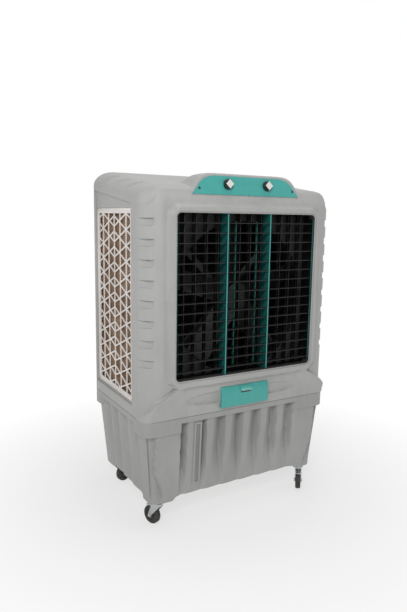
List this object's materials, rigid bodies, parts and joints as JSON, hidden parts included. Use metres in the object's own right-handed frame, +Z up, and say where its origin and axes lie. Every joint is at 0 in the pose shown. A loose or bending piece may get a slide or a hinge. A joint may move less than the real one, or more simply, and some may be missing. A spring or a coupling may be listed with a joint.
{
  "type": "evaporative cooler",
  "caption": "Portable evaporative air cooler: grey moulded cabinet and water tank on swivel castors, louvred outlet, pad grilles on the sides and back, teal knob panel and fill door.",
  "frame": {"origin": "on the floor, under the middle of the housing's width and depth", "axes": "+Z up, -Y to the front (air outlet), +X to the right as seen from behind the front face looking along +Y"},
  "size_m": [0.884, 0.582, 1.3981],
  "materials": {
    "cabinet_plastic": "moulded polyethylene, light satin",
    "tank_plastic": "moulded polyethylene, light satin",
    "deck_plastic": "moulded, satin",
    "teal_plastic": "injection moulded, semi-gloss",
    "louver_plastic": "injection moulded, satin black",
    "knob_plastic": "black skirt, pale face",
    "grille_plastic": "injection moulded, off-white",
    "pad_paper": "corrugated cellulose",
    "gauge_plastic": "clear moulding over grey",
    "valve_plastic": "white moulding",
    "pump_plastic": "dark moulding",
    "fan_plastic": "glass-filled moulding",
    "painted_steel": "black paint",
    "zinc_steel": "bright zinc plate",
    "screw_steel": "dark zinc plate",
    "wheel_rubber": "moulded, satin"
  },
  "bodies": {
    "cabinet": {"cabinet_shell": "cabinet_plastic", "water_tank": "tank_plastic", "fan_deck": "deck_plastic", "fan_motor": "painted_steel", "louver_frame": "teal_plastic", "swing_motor": "zinc_steel", "control_panel": "teal_plastic", "cover_screws": "screw_steel", "pad_grilles": "grille_plastic", "cooling_pads": "pad_paper", "level_gauge": "gauge_plastic", "float_valve": "valve_plastic", "pump_and_pipes": "pump_plastic", "cable_gland": "louver_plastic", "castor_plates": "zinc_steel"},
    "tilt_blade_01": {"tilt_blade_01": "louver_plastic"},
    "tilt_blade_02": {"tilt_blade_02": "louver_plastic"},
    "tilt_blade_03": {"tilt_blade_03": "louver_plastic"},
    "tilt_blade_04": {"tilt_blade_04": "louver_plastic"},
    "tilt_blade_05": {"tilt_blade_05": "louver_plastic"},
    "tilt_blade_06": {"tilt_blade_06": "louver_plastic"},
    "tilt_blade_07": {"tilt_blade_07": "louver_plastic"},
    "tilt_blade_08": {"tilt_blade_08": "louver_plastic"},
    "tilt_blade_09": {"tilt_blade_09": "louver_plastic"},
    "tilt_blade_10": {"tilt_blade_10": "louver_plastic"},
    "tilt_blade_11": {"tilt_blade_11": "louver_plastic"},
    "tilt_blade_12": {"tilt_blade_12": "louver_plastic"},
    "tilt_blade_13": {"tilt_blade_13": "louver_plastic"},
    "tilt_blade_14": {"tilt_blade_14": "louver_plastic"},
    "tilt_blade_15": {"tilt_blade_15": "louver_plastic"},
    "tilt_blade_16": {"tilt_blade_16": "louver_plastic"},
    "tilt_bars": {"tilt_bars": "teal_plastic"},
    "swing_blade_01": {"swing_blade_01": "louver_plastic"},
    "swing_blade_02": {"swing_blade_02": "louver_plastic"},
    "swing_blade_03": {"swing_blade_03": "louver_plastic"},
    "swing_blade_04": {"swing_blade_04": "louver_plastic"},
    "swing_blade_05": {"swing_blade_05": "louver_plastic"},
    "swing_blade_06": {"swing_blade_06": "louver_plastic"},
    "swing_blade_07": {"swing_blade_07": "louver_plastic"},
    "swing_blade_08": {"swing_blade_08": "louver_plastic"},
    "swing_blade_09": {"swing_blade_09": "louver_plastic"},
    "swing_blade_10": {"swing_blade_10": "louver_plastic"},
    "swing_blade_11": {"swing_blade_11": "louver_plastic"},
    "swing_blade_12": {"swing_blade_12": "louver_plastic"},
    "swing_bar": {"swing_bar": "louver_plastic"},
    "fan_impeller": {"fan_impeller": "fan_plastic"},
    "knob_left": {"knob_left": "knob_plastic"},
    "knob_right": {"knob_right": "knob_plastic"},
    "fill_door": {"fill_door": "teal_plastic"},
    "float_arm": {"float_arm": "valve_plastic"},
    "castor_fork_front_left": {"castor_fork_front_left": "zinc_steel"},
    "castor_wheel_front_left": {"castor_wheel_front_left": "wheel_rubber"},
    "brake_pedal_front_left": {"brake_pedal_front_left": "zinc_steel"},
    "castor_fork_front_right": {"castor_fork_front_right": "zinc_steel"},
    "castor_wheel_front_right": {"castor_wheel_front_right": "wheel_rubber"},
    "brake_pedal_front_right": {"brake_pedal_front_right": "zinc_steel"},
    "castor_fork_rear_left": {"castor_fork_rear_left": "zinc_steel"},
    "castor_wheel_rear_left": {"castor_wheel_rear_left": "wheel_rubber"},
    "castor_fork_rear_right": {"castor_fork_rear_right": "zinc_steel"},
    "castor_wheel_rear_right": {"castor_wheel_rear_right": "wheel_rubber"}
  },
  "joints": [
    {"name": "tilt_01", "type": "hinge", "parent": "cabinet", "child": "tilt_blade_01", "pos_m": [0, -0.269, 1.192], "axis": [1, 0, 0], "range_deg": [-35, 35]},
    {"name": "tilt_02", "type": "hinge", "parent": "cabinet", "child": "tilt_blade_02", "pos_m": [0, -0.269, 1.1546], "axis": [1, 0, 0], "range_deg": [-35, 35]},
    {"name": "tilt_03", "type": "hinge", "parent": "cabinet", "child": "tilt_blade_03", "pos_m": [0, -0.269, 1.1172], "axis": [1, 0, 0], "range_deg": [-35, 35]},
    {"name": "tilt_04", "type": "hinge", "parent": "cabinet", "child": "tilt_blade_04", "pos_m": [0, -0.269, 1.0798], "axis": [1, 0, 0], "range_deg": [-35, 35]},
    {"name": "tilt_05", "type": "hinge", "parent": "cabinet", "child": "tilt_blade_05", "pos_m": [0, -0.269, 1.0424], "axis": [1, 0, 0], "range_deg": [-35, 35]},
    {"name": "tilt_06", "type": "hinge", "parent": "cabinet", "child": "tilt_blade_06", "pos_m": [0, -0.269, 1.005], "axis": [1, 0, 0], "range_deg": [-35, 35]},
    {"name": "tilt_07", "type": "hinge", "parent": "cabinet", "child": "tilt_blade_07", "pos_m": [0, -0.269, 0.9676], "axis": [1, 0, 0], "range_deg": [-35, 35]},
    {"name": "tilt_08", "type": "hinge", "parent": "cabinet", "child": "tilt_blade_08", "pos_m": [0, -0.269, 0.9302], "axis": [1, 0, 0], "range_deg": [-35, 35]},
    {"name": "tilt_09", "type": "hinge", "parent": "cabinet", "child": "tilt_blade_09", "pos_m": [0, -0.269, 0.8928], "axis": [1, 0, 0], "range_deg": [-35, 35]},
    {"name": "tilt_10", "type": "hinge", "parent": "cabinet", "child": "tilt_blade_10", "pos_m": [0, -0.269, 0.8554], "axis": [1, 0, 0], "range_deg": [-35, 35]},
    {"name": "tilt_11", "type": "hinge", "parent": "cabinet", "child": "tilt_blade_11", "pos_m": [0, -0.269, 0.818], "axis": [1, 0, 0], "range_deg": [-35, 35]},
    {"name": "tilt_12", "type": "hinge", "parent": "cabinet", "child": "tilt_blade_12", "pos_m": [0, -0.269, 0.7806], "axis": [1, 0, 0], "range_deg": [-35, 35]},
    {"name": "tilt_13", "type": "hinge", "parent": "cabinet", "child": "tilt_blade_13", "pos_m": [0, -0.269, 0.7432], "axis": [1, 0, 0], "range_deg": [-35, 35]},
    {"name": "tilt_14", "type": "hinge", "parent": "cabinet", "child": "tilt_blade_14", "pos_m": [0, -0.269, 0.7058], "axis": [1, 0, 0], "range_deg": [-35, 35]},
    {"name": "tilt_15", "type": "hinge", "parent": "cabinet", "child": "tilt_blade_15", "pos_m": [0, -0.269, 0.6684], "axis": [1, 0, 0], "range_deg": [-35, 35]},
    {"name": "tilt_16", "type": "hinge", "parent": "cabinet", "child": "tilt_blade_16", "pos_m": [0, -0.269, 0.631], "axis": [1, 0, 0], "range_deg": [-35, 35]},
    {"name": "tilt_bars_rise", "type": "slide", "parent": "cabinet", "child": "tilt_bars", "axis": [0, 0, 1], "range_m": [-0.01, 0.01]},
    {"name": "swing_01", "type": "hinge", "parent": "cabinet", "child": "swing_blade_01", "pos_m": [-0.27225, -0.2355, 0.9155], "axis": [0, 0, 1], "range_deg": [-30, 30]},
    {"name": "swing_02", "type": "hinge", "parent": "cabinet", "child": "swing_blade_02", "pos_m": [-0.22275, -0.2355, 0.9155], "axis": [0, 0, 1], "range_deg": [-30, 30]},
    {"name": "swing_03", "type": "hinge", "parent": "cabinet", "child": "swing_blade_03", "pos_m": [-0.17325, -0.2355, 0.9155], "axis": [0, 0, 1], "range_deg": [-30, 30]},
    {"name": "swing_04", "type": "hinge", "parent": "cabinet", "child": "swing_blade_04", "pos_m": [-0.12375, -0.2355, 0.9155], "axis": [0, 0, 1], "range_deg": [-30, 30]},
    {"name": "swing_05", "type": "hinge", "parent": "cabinet", "child": "swing_blade_05", "pos_m": [-0.07425, -0.2355, 0.9155], "axis": [0, 0, 1], "range_deg": [-30, 30]},
    {"name": "swing_06", "type": "hinge", "parent": "cabinet", "child": "swing_blade_06", "pos_m": [-0.02475, -0.2355, 0.9155], "axis": [0, 0, 1], "range_deg": [-30, 30]},
    {"name": "swing_07", "type": "hinge", "parent": "cabinet", "child": "swing_blade_07", "pos_m": [0.02475, -0.2355, 0.9155], "axis": [0, 0, 1], "range_deg": [-30, 30]},
    {"name": "swing_08", "type": "hinge", "parent": "cabinet", "child": "swing_blade_08", "pos_m": [0.07425, -0.2355, 0.9155], "axis": [0, 0, 1], "range_deg": [-30, 30]},
    {"name": "swing_09", "type": "hinge", "parent": "cabinet", "child": "swing_blade_09", "pos_m": [0.12375, -0.2355, 0.9155], "axis": [0, 0, 1], "range_deg": [-30, 30]},
    {"name": "swing_10", "type": "hinge", "parent": "cabinet", "child": "swing_blade_10", "pos_m": [0.17325, -0.2355, 0.9155], "axis": [0, 0, 1], "range_deg": [-30, 30]},
    {"name": "swing_11", "type": "hinge", "parent": "cabinet", "child": "swing_blade_11", "pos_m": [0.22275, -0.2355, 0.9155], "axis": [0, 0, 1], "range_deg": [-30, 30]},
    {"name": "swing_12", "type": "hinge", "parent": "cabinet", "child": "swing_blade_12", "pos_m": [0.27225, -0.2355, 0.9155], "axis": [0, 0, 1], "range_deg": [-30, 30]},
    {"name": "swing_bar_shift", "type": "slide", "parent": "cabinet", "child": "swing_bar", "axis": [1, 0, 0], "range_m": [-0.0062, 0.0062]},
    {"name": "fan_spin", "type": "hinge", "parent": "cabinet", "child": "fan_impeller", "pos_m": [0, -0.17, 0.895], "axis": [0, 1, 0], "continuous": true},
    {"name": "knob_left_turn", "type": "hinge", "parent": "cabinet", "child": "knob_left", "pos_m": [-0.091, -0.25584, 1.33616], "axis": [0, -0.9912, 0.1323], "range_deg": [-270, 0]},
    {"name": "knob_right_turn", "type": "hinge", "parent": "cabinet", "child": "knob_right", "pos_m": [0.091, -0.25584, 1.33616], "axis": [0, -0.9912, 0.1323], "range_deg": [-270, 0]},
    {"name": "fill_door_tip", "type": "hinge", "parent": "cabinet", "child": "fill_door", "pos_m": [0, -0.2736, 0.468], "axis": [1, 0, 0], "range_deg": [0, 70]},
    {"name": "float_swing", "type": "hinge", "parent": "cabinet", "child": "float_arm", "pos_m": [-0.3, 0.243, 0.376], "axis": [-1, 0, 0], "range_deg": [0, 40]},
    {"name": "castor_swivel_front_left", "type": "hinge", "parent": "cabinet", "child": "castor_fork_front_left", "pos_m": [-0.357, -0.208, 0.09], "axis": [0, 0, 1], "continuous": true},
    {"name": "wheel_spin_front_left", "type": "hinge", "parent": "castor_fork_front_left", "child": "castor_wheel_front_left", "pos_m": [-0.36775, -0.17999, 0.0375], "axis": [-0.9336, -0.3584, 0], "continuous": true},
    {"name": "brake_lift_front_left", "type": "hinge", "parent": "castor_fork_front_left", "child": "brake_pedal_front_left", "pos_m": [-0.36238, -0.194, 0.0805], "axis": [0.9336, 0.3584, 0], "range_deg": [0, 12]},
    {"name": "castor_swivel_front_right", "type": "hinge", "parent": "cabinet", "child": "castor_fork_front_right", "pos_m": [0.357, -0.208, 0.09], "axis": [0, 0, 1], "continuous": true},
    {"name": "wheel_spin_front_right", "type": "hinge", "parent": "castor_fork_front_right", "child": "castor_wheel_front_right", "pos_m": [0.33812, -0.23131, 0.0375], "axis": [0.7771, -0.6293, 0], "continuous": true},
    {"name": "brake_lift_front_right", "type": "hinge", "parent": "castor_fork_front_right", "child": "brake_pedal_front_right", "pos_m": [0.34756, -0.21966, 0.0805], "axis": [-0.7771, 0.6293, 0], "range_deg": [0, 12]},
    {"name": "castor_swivel_rear_left", "type": "hinge", "parent": "cabinet", "child": "castor_fork_rear_left", "pos_m": [-0.357, 0.208, 0.09], "axis": [0, 0, 1], "continuous": true},
    {"name": "wheel_spin_rear_left", "type": "hinge", "parent": "castor_fork_rear_left", "child": "castor_wheel_rear_left", "pos_m": [-0.32847, 0.21727, 0.0375], "axis": [-0.309, 0.9511, 0], "continuous": true},
    {"name": "castor_swivel_rear_right", "type": "hinge", "parent": "cabinet", "child": "castor_fork_rear_right", "pos_m": [0.357, 0.208, 0.09], "axis": [0, 0, 1], "continuous": true},
    {"name": "wheel_spin_rear_right", "type": "hinge", "parent": "castor_fork_rear_right", "child": "castor_wheel_rear_right", "pos_m": [0.37108, 0.23449, 0.0375], "axis": [-0.8829, 0.4695, 0], "continuous": true}
  ],
  "couplings": [
    {"joint": "tilt_01", "follows": "tilt_08", "ratio": 1},
    {"joint": "tilt_02", "follows": "tilt_08", "ratio": 1},
    {"joint": "tilt_03", "follows": "tilt_08", "ratio": 1},
    {"joint": "tilt_04", "follows": "tilt_08", "ratio": 1},
    {"joint": "tilt_05", "follows": "tilt_08", "ratio": 1},
    {"joint": "tilt_06", "follows": "tilt_08", "ratio": 1},
    {"joint": "tilt_07", "follows": "tilt_08", "ratio": 1},
    {"joint": "tilt_09", "follows": "tilt_08", "ratio": 1},
    {"joint": "tilt_10", "follows": "tilt_08", "ratio": 1},
    {"joint": "tilt_11", "follows": "tilt_08", "ratio": 1},
    {"joint": "tilt_12", "follows": "tilt_08", "ratio": 1},
    {"joint": "tilt_13", "follows": "tilt_08", "ratio": 1},
    {"joint": "tilt_14", "follows": "tilt_08", "ratio": 1},
    {"joint": "tilt_15", "follows": "tilt_08", "ratio": 1},
    {"joint": "tilt_16", "follows": "tilt_08", "ratio": 1},
    {"joint": "tilt_bars_rise", "follows": "tilt_08", "m_per_rad": 0.0162},
    {"joint": "swing_01", "follows": "swing_07", "ratio": 1},
    {"joint": "swing_02", "follows": "swing_07", "ratio": 1},
    {"joint": "swing_03", "follows": "swing_07", "ratio": 1},
    {"joint": "swing_04", "follows": "swing_07", "ratio": 1},
    {"joint": "swing_05", "follows": "swing_07", "ratio": 1},
    {"joint": "swing_06", "follows": "swing_07", "ratio": 1},
    {"joint": "swing_08", "follows": "swing_07", "ratio": 1},
    {"joint": "swing_09", "follows": "swing_07", "ratio": 1},
    {"joint": "swing_10", "follows": "swing_07", "ratio": 1},
    {"joint": "swing_11", "follows": "swing_07", "ratio": 1},
    {"joint": "swing_12", "follows": "swing_07", "ratio": 1},
    {"joint": "swing_bar_shift", "follows": "swing_07", "m_per_rad": -0.0116}
  ]
}
